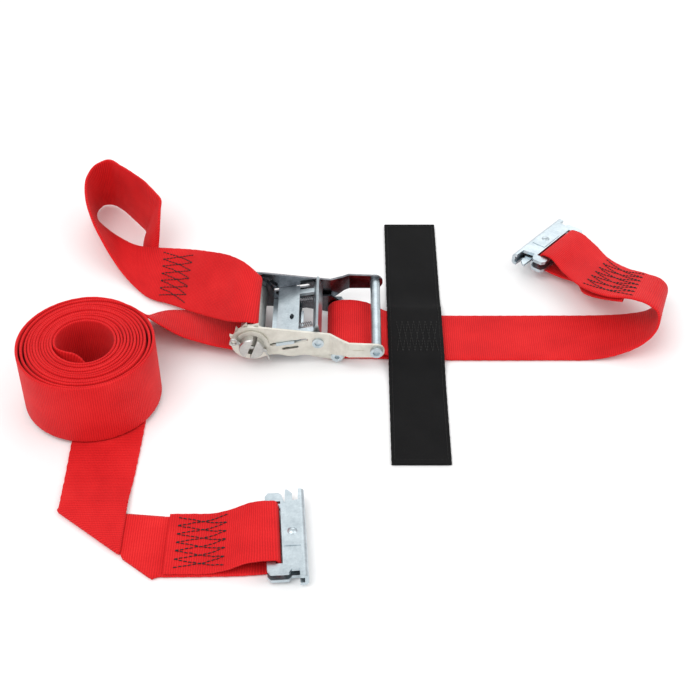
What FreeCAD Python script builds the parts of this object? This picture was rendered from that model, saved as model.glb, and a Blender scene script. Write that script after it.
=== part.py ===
"""Ratchet strap with two spring E-fittings, laid out on the floor as it is sold.

Frame: the origin is on the floor, midway between the ratchet's side plates, under the spindle axis.
+X runs from the spindle to the handle's grip, +Y to the far side plate, +Z up. Units are millimetres.
"""
import FreeCAD
import Part
import math
import os

V = FreeCAD.Vector

# ---- webbing -------------------------------------------------------------------------------
WEB_WIDTH = 50.0
WEB_THICK = 2.2
WEB_HALF = WEB_WIDTH / 2
LAYER_GAP = 0.15                              # between layers of webbing lying on each other
ON_FLOOR = WEB_THICK / 2                      # height of the mid surface of webbing lying flat
SECOND_LAYER = ON_FLOOR + WEB_THICK + LAYER_GAP
PAD_THICK = 2.4
PAD_LEFT, PAD_RIGHT = 100.0, 141.5
PAD_ON_FLOOR = PAD_THICK / 2 + 0.05

# ---- ratchet -------------------------------------------------------------------------------
AXIS_Z = 21.5                                 # spindle axis above the floor
PLATE = 1.8                                   # side plate thickness
FRAME_INNER = 25.8                            # inner face of the frame's side plates, from mid-width
WHEEL_INNER = 27.9                            # inner face of the toothed wheels
WHEEL_THICK = 2.2
HANDLE_INNER = 30.4
HANDLE_FLARE = 8.3                            # the handle's plates spread by this much at the grip
FLARE_START = 57.0
FLARE_END = 71.0
BAR_RADIUS = 9.0                              # the two half bars of the spindle together
BAR_HALF_LENGTH = 39.5
SLIT = 3.2                                    # gap between the half bars, for the webbing
SLIT_ANGLE = 70.0                             # direction of the slit from +X
HOLE_RADIUS = BAR_RADIUS + 0.3
COTTER_Y = 36.0
COTTER_RADIUS = 1.4
TEETH = 12
TOOTH_TIP = 17.0
TOOTH_ROOT = 14.0
TOOTH_FACE_ANGLE = -19.5                      # steep face of the tooth above the lock pawl
TOOTH_RAMP = 24.0
SPREAD = 60.0                                 # reach of tool bodies past the handle's plates
GRIP_X, GRIP_Z, GRIP_RADIUS = 90.6, 21.1, 3.7
GRIP_BORE = 2.5
BOSS_X, BOSS_Z = 77.5, 22.0                   # half-moon boss pressed in the handle's plates
GRIP_END = 5.9                                # rounding of the handle's plates about the grip
ROD_X, ROD_Z, ROD_RADIUS = 48.2, 22.2, 2.5
ANCHOR_X, ANCHOR_Z, ANCHOR_RADIUS = 62.0, 6.6, 4.0
PAWL_ANGLE = 10.4                             # the drive pawl slides in slots at this slope
PAWL_SLOT = (14.5, 20.2, 39.5, 24.8)          # ends of the slot's centre line, x and z
LOWER_SLOT = (23.0, 16.4, 33.0, 18.3)
PAWL_THICK = 2.4
PAWL_LEFT = 17.6
PAWL_RIGHT = 33.7
ARM_RIGHT = 49.6                              # ends of the arms that carry the finger flange
FLANGE_HALF = 27.5
LOCK_LEFT, LOCK_RIGHT, LOCK_Z, LOCK_THICK = 13.6, 30.0, 14.5, 2.0

# ---- E-fitting, in its own frame: u outward, v along, w up --------------------------------
FIT_DEPTH = 26.0
FIT_HALF_HEIGHT = 4.75
FIT_PLATE = 2.5
FIT_EAR = 33.5
FIT_PRONG = 36.5
FIT_BAR = 5.5
FIT_SLOT_END = 10.0
FIT_SLOT_HALF = 26.0
RIVET_U, RIVET_RADIUS = 17.0, 3.2

# ---- roll ----------------------------------------------------------------------------------
ROLL_CENTRE = V(-111.5, -65.5, 0)
ROLL_OUTER, ROLL_INNER = 48.9, 20.0
ROLL_BOTTOM = WEB_THICK + LAYER_GAP           # the roll stands on the layer that leaves it


def export(name, shape):
    """Write one node, after a check that it is sound."""
    if not shape.isValid() or shape.Volume <= 0:
        raise ValueError("bad shape: " + name)
    shape.exportStep("parts/" + name + ".step")


def prism_xz(points, y0, y1):
    """A prism with its outline in the XZ plane."""
    low, high = min(y0, y1), max(y0, y1)
    outline = [V(x, low, z) for x, z in points]
    face = Part.Face(Part.makePolygon(outline + outline[:1]))
    return face.extrude(V(0, high - low, 0))


def prism_xy(points, z0, z1):
    """A prism with its outline in the XY plane."""
    outline = [V(x, y, z0) for x, y in points]
    face = Part.Face(Part.makePolygon(outline + outline[:1]))
    return face.extrude(V(0, 0, z1 - z0))


def cylinder_y(x, z, radius, y0, y1):
    """A cylinder along Y."""
    low, high = min(y0, y1), max(y0, y1)
    return Part.makeCylinder(radius, high - low, V(x, low, z), V(0, 1, 0))


def box(x0, x1, y0, y1, z0, z1):
    """A box between two corners, in any order along Y."""
    low, high = min(y0, y1), max(y0, y1)
    return Part.makeBox(x1 - x0, high - low, z1 - z0, V(x0, low, z0))


def slot_y(x0, z0, x1, z1, height, y0, y1):
    """A round-ended slot through a side plate, between two points of its centre line."""
    run = V(x1 - x0, 0, z1 - z0)
    across = V(-run.z, 0, run.x).normalize() * (height / 2)
    ends = [V(x0, 0, z0) + across, V(x1, 0, z1) + across, V(x1, 0, z1) - across, V(x0, 0, z0) - across]
    body = prism_xz([(p.x, p.z) for p in ends], y0, y1)
    return body.fuse([cylinder_y(x0, z0, height / 2, y0, y1), cylinder_y(x1, z1, height / 2, y0, y1)])


def ribbon(edges, thick=WEB_THICK, before=None, after=None):
    """Webbing as a closed solid: each station is (near edge, far edge) of its mid surface.

    The stations before and after are the neighbouring pieces', so that the ends' cuts meet theirs.
    """
    first = 1 if before else 0
    line = ([before] if before else []) + list(edges) + ([after] if after else [])
    near = [V(*station[0]) for station in line]
    far = [V(*station[1]) for station in line]
    middle = [(a + b) * 0.5 for a, b in zip(near, far)]
    sections = []
    for i in range(first, first + len(edges)):
        previous = middle[max(i - 1, 0)]
        following = middle[min(i + 1, len(line) - 1)]
        tangent = (following - previous).normalize()
        across = far[i] - near[i]
        lift = across.cross(tangent).normalize() * (thick / 2)
        corners = [near[i] - lift, far[i] - lift, far[i] + lift, near[i] + lift]
        sections.append(Part.makePolygon(corners + corners[:1]))
    return Part.makeLoft(sections, True, True)


def flat_stations(points):
    """Stations of webbing whose width lies along Y: each point is (x, z, mid y)."""
    return [((x, mid - WEB_HALF, z), (x, mid + WEB_HALF, z)) for x, z, mid in points]


# ---- ratchet frame -------------------------------------------------------------------------
def frame_side(side):
    """One side plate of the frame: round about the spindle, narrow to the anchor bolt."""
    y0, y1 = side * FRAME_INNER, side * (FRAME_INNER + PLATE)
    outline = [(0, 34.4), (8, 31.5), (16, 19.5), (20, 18), (57, 18), (67.5, 9.5), (67.5, 4.5)]
    outline += [(62, 0.5), (55, 2.5), (38, 6.5), (30, 4.8), (26, 4.8), (14, 8), (0, 8.6)]
    plate = prism_xz(outline, y0, y1)
    plate = plate.fuse([cylinder_y(0, AXIS_Z, 12.9, y0, y1), cylinder_y(ANCHOR_X, ANCHOR_Z, 6.2, y0, y1)])
    plate = plate.cut(cylinder_y(0, AXIS_Z, HOLE_RADIUS, y0, y1))
    plate = plate.cut(cylinder_y(ANCHOR_X, ANCHOR_Z, ANCHOR_RADIUS, y0, y1))
    return plate.cut(box(13.2, 27.0, y0, y1, LOCK_Z - 1.3, LOCK_Z + 1.3)).removeSplitter()


def frame_cross_plate():
    """Plate between the frame's sides, with a turned-up tab that holds the lock pawl's spring."""
    plate = box(18, 35, -FRAME_INNER, FRAME_INNER, 5.0, 7.0)
    tab = box(35, 36.8, -9, 9, 5.0, 17.5)
    return plate.fuse(tab).removeSplitter()


def anchor_bolt():
    """Bolt that the short strap's loop goes around, head on the near side."""
    shank = cylinder_y(ANCHOR_X, ANCHOR_Z, ANCHOR_RADIUS, -FRAME_INNER - PLATE, 34.0)
    head = cylinder_y(ANCHOR_X, ANCHOR_Z, 4.4, -FRAME_INNER - PLATE, -FRAME_INNER - PLATE - 3.2)
    head = head.cut(hexagon(ANCHOR_X, ANCHOR_Z, 2.0, -31.2, -29.0))
    return shank.fuse(head).removeSplitter()


def hexagon(x, z, radius, y0, y1):
    """A hexagonal prism along Y."""
    corners = []
    for i in range(6):
        angle = math.radians(60 * i)
        corners.append((x + radius * math.cos(angle), z + radius * math.sin(angle)))
    return prism_xz(corners, y0, y1)


def anchor_nut():
    """Hexagon nut on the bolt's far end."""
    nut = hexagon(ANCHOR_X, ANCHOR_Z, 6.2, FRAME_INNER + PLATE, 32.6)
    return nut.cut(cylinder_y(ANCHOR_X, ANCHOR_Z, ANCHOR_RADIUS, 27, 33))


def lock_pawl():
    """Flat pawl in the frame's slots: its two ears hold the wheels against unwinding."""
    plate = box(LOCK_LEFT, LOCK_RIGHT, -25.5, 25.5, LOCK_Z - LOCK_THICK / 2, LOCK_Z + LOCK_THICK / 2)
    reach = HANDLE_INNER - 0.3
    ears = box(LOCK_LEFT, 22.0, -reach, reach, LOCK_Z - LOCK_THICK / 2, LOCK_Z + LOCK_THICK / 2)
    return plate.fuse(ears).removeSplitter()


def lock_pawl_spring():
    """Compression spring between the lock pawl and the cross plate's tab."""
    outer = Part.makeCylinder(2.2, 35 - LOCK_RIGHT, V(LOCK_RIGHT, 0, LOCK_Z), V(1, 0, 0))
    inner = Part.makeCylinder(1.3, 35 - LOCK_RIGHT, V(LOCK_RIGHT, 0, LOCK_Z), V(1, 0, 0))
    return outer.cut(inner)


# ---- spindle -------------------------------------------------------------------------------
def across_slit(start, end, reach):
    """Block between two distances across the slit from its mid plane, leaning with the slit."""
    slab = box(start, end, -SPREAD, SPREAD, -reach, reach)
    slab.rotate(V(0, 0, 0), V(0, 1, 0), 90 - SLIT_ANGLE)
    slab.translate(V(0, 0, AXIS_Z))
    return slab


def half_bar(side):
    """Half-round bar of the spindle: side -1 lies toward -X, +1 toward +X."""
    whole = cylinder_y(0, AXIS_Z, BAR_RADIUS, -BAR_HALF_LENGTH, BAR_HALF_LENGTH)
    rims = [edge for edge in whole.Edges if edge.BoundBox.YLength < 0.01]
    whole = whole.makeChamfer(0.7, rims)
    near_face, far_face = SLIT / 2, 2 * BAR_RADIUS
    if side < 0:
        near_face, far_face = -2 * BAR_RADIUS, -SLIT / 2
    bar = whole.common(across_slit(near_face, far_face, 2 * BAR_RADIUS))
    for end in (-1, 1):
        bar = bar.cut(cotter_shank(end, COTTER_RADIUS + 0.1, 14))
    return bar.removeSplitter()


def cotter_direction():
    """Across the slit, from the upper left to the lower right."""
    angle = math.radians(SLIT_ANGLE - 90)
    return V(math.cos(angle), 0, math.sin(angle))


def cotter_shank(end, radius, reach):
    """Straight part of a cotter pin, through both half bars."""
    along = cotter_direction()
    start = V(0, end * COTTER_Y, AXIS_Z) - along * reach
    return Part.makeCylinder(radius, 2 * reach, start, along)


def cotter_pin(end):
    """Split pin across the spindle's end: a shank, an eye and two legs bent down."""
    along = cotter_direction()
    shank = cotter_shank(end, COTTER_RADIUS, 11.5)
    eye_centre = V(0, end * COTTER_Y, AXIS_Z) - along * 13.4
    eye = Part.makeTorus(2.4, 0.9, eye_centre, V(0, 1, 0))
    leg_start = V(0, end * COTTER_Y, AXIS_Z) + along * 10.6
    leg = Part.makeCylinder(0.8, 8.5, leg_start, V(0.35, 0, -1).normalize())
    return shank.fuse([eye, leg]).removeSplitter()


def ratchet_wheel(side):
    """Toothed wheel on the half bars: steep faces toward the pawls, a web across the slit."""
    step = 360.0 / TEETH
    outline = []
    for i in range(TEETH):
        face = TOOTH_FACE_ANGLE + step * i
        for radius, angle in ((TOOTH_ROOT, face), (TOOTH_TIP, face), (TOOTH_ROOT, face + TOOTH_RAMP)):
            turn = math.radians(angle)
            outline.append((radius * math.cos(turn), AXIS_Z + radius * math.sin(turn)))
    y0, y1 = side * WHEEL_INNER, side * (WHEEL_INNER + WHEEL_THICK)
    wheel = prism_xz(outline, y0, y1)
    seat = cylinder_y(0, AXIS_Z, BAR_RADIUS + 0.05, y0, y1)
    web = (SLIT - 0.1) / 2
    return wheel.cut(seat.cut(across_slit(-web, web, 2 * BAR_RADIUS)))


def spindle_washer(side):
    """Plain washer between the handle's plate and the cotter pin."""
    y0, y1 = side * (HANDLE_INNER + PLATE + 0.2), side * (HANDLE_INNER + PLATE + 1.7)
    return cylinder_y(0, AXIS_Z, 12.4, y0, y1).cut(cylinder_y(0, AXIS_Z, BAR_RADIUS + 0.05, y0, y1))


# ---- handle --------------------------------------------------------------------------------
def handle_side(side):
    """Side plate of the handle: round about the spindle, flared and narrow at the grip."""
    outline = [(0, 36.5), (9, 35.8), (35, 32.4), (55, 30.0), (66, 28.2), (GRIP_X, GRIP_Z + GRIP_END)]
    outline += [(GRIP_X, GRIP_Z - GRIP_END), (67, 15.2), (61, 12.6), (54, 10.4), (14, 10.8)]
    outline += [(7.5, 8.5), (0, 6.5)]
    reach = side * SPREAD
    blank = prism_xz(outline, 0, reach)
    ends = [cylinder_y(0, AXIS_Z, 15.0, 0, reach), cylinder_y(GRIP_X, GRIP_Z, GRIP_END, 0, reach)]
    blank = blank.fuse(ends)
    inner, outer = side * HANDLE_INNER, side * (HANDLE_INNER + PLATE)
    wide_inner, wide_outer = inner + side * HANDLE_FLARE, outer + side * HANDLE_FLARE
    bend = [(-30, inner), (FLARE_START, inner), (FLARE_END, wide_inner), (110, wide_inner)]
    bend += [(110, wide_outer), (FLARE_END - 0.5, wide_outer), (FLARE_START - 0.5, outer), (-30, outer)]
    plate = blank.common(prism_xy(bend, -10, 60))
    plate = plate.cut(cylinder_y(0, AXIS_Z, HOLE_RADIUS, 0, reach))
    plate = plate.cut(slot_y(*PAWL_SLOT, PAWL_THICK + 0.4, 0, reach))
    plate = plate.cut(slot_y(*LOWER_SLOT, 2.2, 0, reach))
    plate = plate.cut(cylinder_y(ROD_X, ROD_Z, ROD_RADIUS, 0, reach))
    moon = cylinder_y(BOSS_X, BOSS_Z, 3.8, wide_outer, wide_outer + side * 0.5)
    moon = moon.common(box(BOSS_X - 4, BOSS_X + 4, 0, reach, BOSS_Z - 4, BOSS_Z))
    plate = plate.fuse(moon)
    return plate.cut(cylinder_y(GRIP_X, GRIP_Z, GRIP_BORE, 0, reach)).removeSplitter()


def grip_tube():
    """Tube that the hand holds, between the flared plates."""
    half = HANDLE_INNER + HANDLE_FLARE
    tube = cylinder_y(GRIP_X, GRIP_Z, GRIP_RADIUS, -half, half)
    return tube.cut(cylinder_y(GRIP_X, GRIP_Z, GRIP_BORE, -half, half))


def riveted_rod(x, z, radius, half, head_radius, head_height):
    """Round rod through both plates with a head at each end and a recess in the near head."""
    rod = cylinder_y(x, z, radius, -half, half)
    heads = [cylinder_y(x, z, head_radius, side * half, side * (half + head_height)) for side in (-1, 1)]
    near = -half - head_height
    rod = rod.fuse(heads).removeSplitter()
    return rod.cut(hexagon(x, z, head_radius * 0.6, near, near + head_height * 0.7))


def grip_bolt():
    """Rod inside the grip tube, headed outside the plates."""
    return riveted_rod(GRIP_X, GRIP_Z, GRIP_BORE, HANDLE_INNER + HANDLE_FLARE + PLATE, 4.5, 2.2)


def cross_rod():
    """Rod between the plates behind the drive pawl, which its springs push against."""
    return riveted_rod(ROD_X, ROD_Z, ROD_RADIUS, HANDLE_INNER + PLATE, 4.2, 1.4)


def pawl_line(x):
    """Height of the drive pawl's mid plane at a distance from the spindle."""
    return PAWL_SLOT[1] + (x - PAWL_SLOT[0]) * math.tan(math.radians(PAWL_ANGLE))


def pawl_slab(x0, x1, y0, y1):
    """Part of the drive pawl's inclined plate."""
    half = PAWL_THICK / 2 / math.cos(math.radians(PAWL_ANGLE))
    low0, low1 = pawl_line(x0) - half, pawl_line(x1) - half
    return prism_xz([(x0, low0), (x1, low1), (x1, low1 + 2 * half), (x0, low0 + 2 * half)], y0, y1)


def almond_hole(x, y, half_length, half_width):
    """Pointed oval cutter along Z, longer along Y."""
    radius = (half_length ** 2 + half_width ** 2) / (2 * half_width)
    shift = radius - half_width
    left = Part.makeCylinder(radius, 20, V(x - shift, y, 15))
    return left.common(Part.makeCylinder(radius, 20, V(x + shift, y, 15)))


def drive_pawl():
    """Sliding pawl with ears in the handle's slots, two arms and a ridged finger flange."""
    reach = HANDLE_INNER - 0.4
    plate = pawl_slab(PAWL_LEFT, PAWL_RIGHT, -reach, reach)
    ears = pawl_slab(PAWL_LEFT, 31.0, -reach - PAWL_THICK - 0.8, reach + PAWL_THICK + 0.8)
    arms = [pawl_slab(PAWL_RIGHT - 1, ARM_RIGHT, side * 20, side * 25) for side in (-1, 1)]
    ridge = [(44.3, 25.6), (46.5, 35.4), (47.4, 36.0), (48.3, 35.4), (50.4, 25.6), (48.6, 25.6)]
    ridge += [(47.4, 31.5), (46.1, 25.6)]
    pawl = plate.fuse([ears, prism_xz(ridge, -FLANGE_HALF, FLANGE_HALF)] + arms)
    return pawl.cut(almond_hole(28.4, -5.0, 3.4, 1.6)).removeSplitter()


def drive_pawl_spring(side):
    """Compression spring between the drive pawl and the cross rod."""
    slope = math.radians(PAWL_ANGLE)
    along = V(math.cos(slope), 0, math.sin(slope))
    start = V(PAWL_RIGHT + 0.5, side * 14, pawl_line(PAWL_RIGHT) - 0.6)
    length = 9.6
    outer = Part.makeCylinder(1.9, length, start, along)
    return outer.cut(Part.makeCylinder(1.1, length, start, along))


# ---- E-fittings ----------------------------------------------------------------------------
def fitting_outline():
    """Outline of one plate: ears beside the webbing, a latch recess at +v, a notch at -v."""
    points = [(2.0, -FIT_EAR), (13.5, -FIT_EAR), (15.5, -30.5), (20.5, -30.5), (20.5, -FIT_PRONG)]
    points += [(FIT_DEPTH, -FIT_PRONG), (FIT_DEPTH, FIT_PRONG), (22.0, FIT_PRONG), (21.5, 27.0)]
    points += [(12.5, 25.5), (11.0, FIT_EAR - 2), (9.0, FIT_EAR), (2.0, FIT_EAR), (0, FIT_EAR - 3)]
    points += [(0, -FIT_EAR + 3)]
    return points


def fitting_body():
    """Folded plate: two equal layers joined by a rounded fold at the outer edge."""
    top = FIT_HALF_HEIGHT
    block = prism_xy(fitting_outline(), -top, top)
    hollow = box(-1, FIT_DEPTH - FIT_PLATE, -50, 50, -top + FIT_PLATE, top - FIT_PLATE)
    slot = box(FIT_BAR, FIT_SLOT_END, -FIT_SLOT_HALF, FIT_SLOT_HALF, -top - 1, top + 1)
    body = block.cut(hollow).cut(slot)
    round_edge = box(FIT_DEPTH - 3, FIT_DEPTH + 1, -50, 50, -top - 1, top + 1)
    rounding = Part.makeCylinder(3.0, 100, V(FIT_DEPTH - 3, -50, top - 3), V(0, 1, 0))
    rounding = rounding.fuse(Part.makeCylinder(3.0, 100, V(FIT_DEPTH - 3, -50, -top + 3), V(0, 1, 0)))
    rounding = rounding.fuse(box(FIT_DEPTH - 3, FIT_DEPTH, -50, 50, -top + 3, top - 3))
    body = body.cut(round_edge.cut(rounding))
    boss = box(11.2, 22.0, -12, 12, top, top + 0.4)
    body = body.fuse(boss)
    return body.cut(Part.makeCylinder(1.6, 20, V(RIVET_U, 0, -10))).removeSplitter()


def fitting_latch():
    """Flat latch between the layers, forked about the rivet, with a pointed tab at +v."""
    points = [(13.0, -24), (21.0, -24), (21.0, -2.2), (RIVET_U - 2.2, -2.2), (RIVET_U - 2.2, 2.2)]
    points += [(21.0, 2.2), (21.0, 25), (18.0, 30), (18.0, 36.0), (15.0, 39.5), (13.4, 39.5), (13.0, 30)]
    return prism_xy(points, -0.9, 0.9)


def latch_spring():
    """Wire spring around the rivet, under the upper layer."""
    ring = Part.makeCylinder(3.1, 1.0, V(RIVET_U, 0, 1.05))
    return ring.cut(Part.makeCylinder(2.1, 1.0, V(RIVET_U, 0, 1.05)))


def fitting_rivet():
    """Rivet through both layers with a domed head on top."""
    top = FIT_HALF_HEIGHT + 0.4
    shank = Part.makeCylinder(1.6, 2 * FIT_HALF_HEIGHT + 0.4, V(RIVET_U, 0, -FIT_HALF_HEIGHT))
    ball = 4.2
    dome = Part.makeSphere(ball, V(RIVET_U, 0, top - ball + 1.5))
    dome = dome.common(Part.makeCylinder(RIVET_RADIUS, 3, V(RIVET_U, 0, top)))
    foot = Part.makeCylinder(2.6, 0.6, V(RIVET_U, 0, -FIT_HALF_HEIGHT - 0.6))
    return shank.fuse([dome, foot]).removeSplitter()


def fitting_pose(origin, u, v):
    """Placement that takes the fitting's frame to the object's."""
    w = u.cross(v).normalize()
    v = w.cross(u).normalize()
    matrix = FreeCAD.Matrix(u.x, v.x, w.x, origin.x, u.y, v.y, w.y, origin.y, u.z, v.z, w.z, origin.z)
    return FreeCAD.Placement(matrix)


def placed(shape, pose):
    """A copy of a shape, moved to its place."""
    copy = shape.copy()
    copy.Placement = pose.multiply(copy.Placement)
    return copy


def fitting_station(pose, u, w, half=WEB_HALF):
    """Webbing station across the fitting, at u and w."""
    near = pose.multVec(V(u, -half, w))
    far = pose.multVec(V(u, half, w))
    return (tuple(near), tuple(far))


LONG_POSE = fitting_pose(V(17.6, -203.5, 7.4), V(0.9976, 0.0698, 0).normalize(), V(-0.0698, 0.9976, 0))
SHORT_U = V(-0.807, 0.590, 0).normalize()
SHORT_POSE = fitting_pose(V(241.5, 89.4, 11.0), SHORT_U, V(-0.585, -0.80, 0.13).normalize())
OVER = FIT_HALF_HEIGHT + WEB_THICK / 2 + 0.35   # webbing outside the fitting's layers
IN_SLOT = (FIT_BAR + FIT_SLOT_END) / 2


# ---- webbing -------------------------------------------------------------------------------
def anchor_loop():
    """Short strap's sewn end: over the run, around the anchor bolt and back along the floor."""
    points = [(138, SECOND_LAYER, -2.7), (100, SECOND_LAYER, -1.4), (93, 7.4, -1.0), (85, 12.4, -0.7)]
    points += [(75, 14.8, -0.5), (64, 14.6, -0.4), (57.5, 12.2, -0.3), (55.4, 7.6, -0.3)]
    points += [(56.5, 3.9, -0.3), (59.1, 1.6, -0.3), (64, ON_FLOOR, -0.4)]
    points += [(84, ON_FLOOR, -0.7), (100, ON_FLOOR, -1.4)]
    return ribbon(flat_stations(points))


SHORT_RUN = flat_stations([
    (100, ON_FLOOR, -1.4), (130, ON_FLOOR, -2.5), (160, ON_FLOOR, -2.7), (249, ON_FLOOR, -2.7),
])


# near edge and far edge of the short strap where it turns back on itself
SHORT_FOLD = [
    ((249, -27.7, ON_FLOOR), (249, 22.3, ON_FLOOR)),
    ((268, -27.7, 6.0), (272, 22.3, 1.8)),
    ((282, -27.5, 13.5), (287, 22.5, 3.2)),
    ((290.5, -27, 22), (299, 23, 6.0)),
    ((294.5, -26, 30), (307.5, 25.5, 11.5)),
    ((296, -22, 36), (312.5, 29, 17.5)),
    ((295, -17.5, 39), (312.8, 32, 22.0)),
    ((290, -11, 40), (309, 35, 26.0)),
    ((280, -3.2, 39), (299, 42, 26.0)),
]
SHORT_RETURN = [
    ((280, -3.2, 39), (299, 42, 26.0)),
    ((262, 11.2, 30.5), (286.6, 53.7, 22.0)),
    ((247, 31.5, 23.0), (274.6, 72.5, 17.5)),
    ((236.5, 53.4, 19.0), (266.0, 94.0, 15.5)),
]


SEWN_START = (-24.0, -OVER + 0.8)
SEWN_END = [((250.5, 31.0, 16.2), (276.5, 71.0, 11.5)), ((264, 12.6, 25.6), (287.5, 53.6, 17.5))]


def short_fitting_loop():
    """Short strap through its fitting: over the bars, down the slot and back under, to the sewn end."""
    over = [(2.5, OVER + 0.4), (IN_SLOT - 1.0, OVER - 0.3), (IN_SLOT, 3.0)]
    under = [(IN_SLOT, -3.0), (IN_SLOT - 1.0, -OVER + 0.3), (2.0, -OVER), (-12.0, -OVER - 0.4), SEWN_START]
    return [SHORT_RETURN[-1]] + [turned(fitting_station(SHORT_POSE, u, w)) for u, w in over + under]


def turned(station):
    """The same station with its near and far edges exchanged."""
    return (station[1], station[0])


def storage_pad():
    """Hook-and-loop strip sewn across the short strap, its ends resting on the floor."""
    over = SECOND_LAYER + WEB_THICK / 2 + PAD_THICK / 2 + 0.2
    points = [(-133.5, PAD_ON_FLOOR), (-60, PAD_ON_FLOOR), (-38, 2.6), (-29.5, over)]
    points += [(24.5, over), (33, 2.6), (56, PAD_ON_FLOOR), (137.5, PAD_ON_FLOOR)]
    return ribbon([((PAD_LEFT, y, z), (PAD_RIGHT, y, z)) for y, z in points], PAD_THICK)


def roll():
    """Wound part of the long strap, standing on its edge, as one closed ring."""
    base = ROLL_CENTRE + V(0, 0, ROLL_BOTTOM)
    outer = Part.makeCylinder(ROLL_OUTER, WEB_WIDTH, base)
    return outer.cut(Part.makeCylinder(ROLL_INNER, WEB_WIDTH, base))


ROLL_LEAVE_Y = ROLL_CENTRE.y + ROLL_OUTER + WEB_THICK / 2 + 0.1
SLIT_REACH = 10.6                              # from the axis to where the webbing leaves the bars
LEAD_START = ((-37, -20, 11), (-38.5, 28, 2.2))
# the lead from the spindle to the roll: it turns from flat to standing on its edge
LEAD = [
    LEAD_START,
    ((-52, -19.0, 16.5), (-54, 28.0, 1.9)),
    ((-68.5, -17.0, 27.0), (-72, 26.0, 2.2)),
    ((-82, -14.8, 37.0), (-86, 15.0, 3.6)),
    ((-96, -14.6, 47.5), (-98, -6.0, 3.4)),
    ((-111.5, ROLL_LEAVE_Y, 52.5), (-111.5, ROLL_LEAVE_Y, ROLL_BOTTOM)),
]
TAIL_START = ((-50, 19, 8.6), (-38, 58, 36))
SPINDLE_LOWER = [((-9, -25, 8.6), (-9, 25, 7.6)), ((-18, -24.5, 10.5), (-19, 25.5, 4.6)), LEAD_START]
SPINDLE_UPPER = [
    ((1.5, -25.5, 34.6), (5.0, 24.0, 36.5)),
    ((-4, -25.5, 35.2), (2.5, 23.5, 41.0)),
    ((-12, -21, 31), (-3.5, 25.2, 45.8)),
    ((-29, -2.5, 20), (-17.6, 39.8, 43.8)),
    TAIL_START,
]
TAIL = [
    TAIL_START,
    ((-69, 34.2, 3.4), (-58.3, 78.8, 22)),
    ((-83, 41.4, 2.2), (-76, 88.5, 15.5)),
    ((-94, 52.0, 2.0), (-97.8, 101.3, 7.6)),
]
PULL_LOOP = [
    ((-94, 52.0, 2.0), (-97.8, 101.3, 7.6)),
    ((-109, 69, 7.6), (-116, 118.5, 2.2)),
    ((-124.3, 89.1, 21.2), (-131, 134, 1.4)),
    ((-133.1, 103.7, 30.6), (-138.2, 143.7, 1.0)),
    ((-140.4, 124, 40.6), (-140.6, 154.0, 0.8)),
    ((-141.3, 142.3, 46.2), (-138.6, 162, 0.6)),
    ((-136, 155.3, 49), (-134.8, 167.5, 0.5)),
    ((-127, 163.6, 50), (-128.8, 168.3, 0.5)),
    ((-115, 153.4, 50), (-118.6, 160.2, 0.5)),
    ((-103, 141.5, 50), (-107, 145.1, 0.5)),
    ((-90.5, 127.5, 50), (-96.4, 130.6, 0.5)),
]
LOOP_RETURN = [
    ((-90.5, 127.5, 50), (-96.4, 130.6, 0.5)),
    ((-80.5, 107, 46), (-89.0, 122.0, 1.2)),
    ((-75.5, 95.0, 31), (-81.0, 116.0, 1.6)),
    ((-73.0, 91.0, 11), (-77.0, 113.0, 1.8)),
    ((-69.0, 80.0, 7.0), (-71.0, 108.0, 2.2)),
]


def spindle_webbing():
    """Long strap where it passes through the spindle's slit."""
    slot_top, slot_foot = slit_point(SLIT_REACH), slit_point(-SLIT_REACH)
    through = ribbon([slot_foot, slit_point(0), slot_top])
    lower = ribbon([slot_foot] + SPINDLE_LOWER, after=LEAD[1])
    upper = ribbon([slot_top] + SPINDLE_UPPER, after=TAIL[1])
    return through.fuse([lower, upper])


def slit_point(distance):
    """Station across the slit, at a distance from the axis toward its upper end."""
    angle = math.radians(SLIT_ANGLE)
    x, z = distance * math.cos(angle), AXIS_Z + distance * math.sin(angle)
    return ((x, -WEB_HALF, z), (x, WEB_HALF, z))


FOLD_OUTER, FOLD_INNER = (-121.0, -175.0), (-52.0, -231.0)
RUN_LEFT, RUN_RIGHT = -122.5, -74.0           # edges of the layer that comes from the roll


def long_run():
    """Long strap flat on the floor from under the roll to the diagonal fold."""
    points = [(-62, ON_FLOOR), (-150, ON_FLOOR), (-168, SECOND_LAYER), (-172, SECOND_LAYER)]
    return ribbon([((RUN_LEFT, y, z), (RUN_RIGHT, y, z)) for y, z in points])


def diagonal_fold():
    """Diagonal fold: the layer from the roll lies on the layer to the fitting."""
    middle, upper_z = WEB_THICK, SECOND_LAYER - WEB_THICK / 2
    slope = (FOLD_INNER[1] - FOLD_OUTER[1]) / (FOLD_INNER[0] - FOLD_OUTER[0])
    meet_y = FOLD_OUTER[1] + (RUN_RIGHT - FOLD_OUTER[0]) * slope
    meet = (RUN_RIGHT, meet_y)
    over = [(RUN_LEFT, -172), (RUN_RIGHT, -172), meet, FOLD_OUTER]
    under = [FOLD_OUTER, FOLD_INNER, (-50, -231), (-50, -180.5), (-112, -180.5)]
    crease = [FOLD_OUTER, meet, (RUN_RIGHT, meet_y + 3.0), (-117, -175)]
    layers = [prism_xy(under, 0, middle), prism_xy(crease, middle, upper_z)]
    return prism_xy(over, upper_z, upper_z + WEB_THICK).fuse(layers)


LONG_END = flat_stations([(-50, ON_FLOOR, -205.7), (-20, ON_FLOOR, -205.5), (10, ON_FLOOR, -204.4)])


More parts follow.
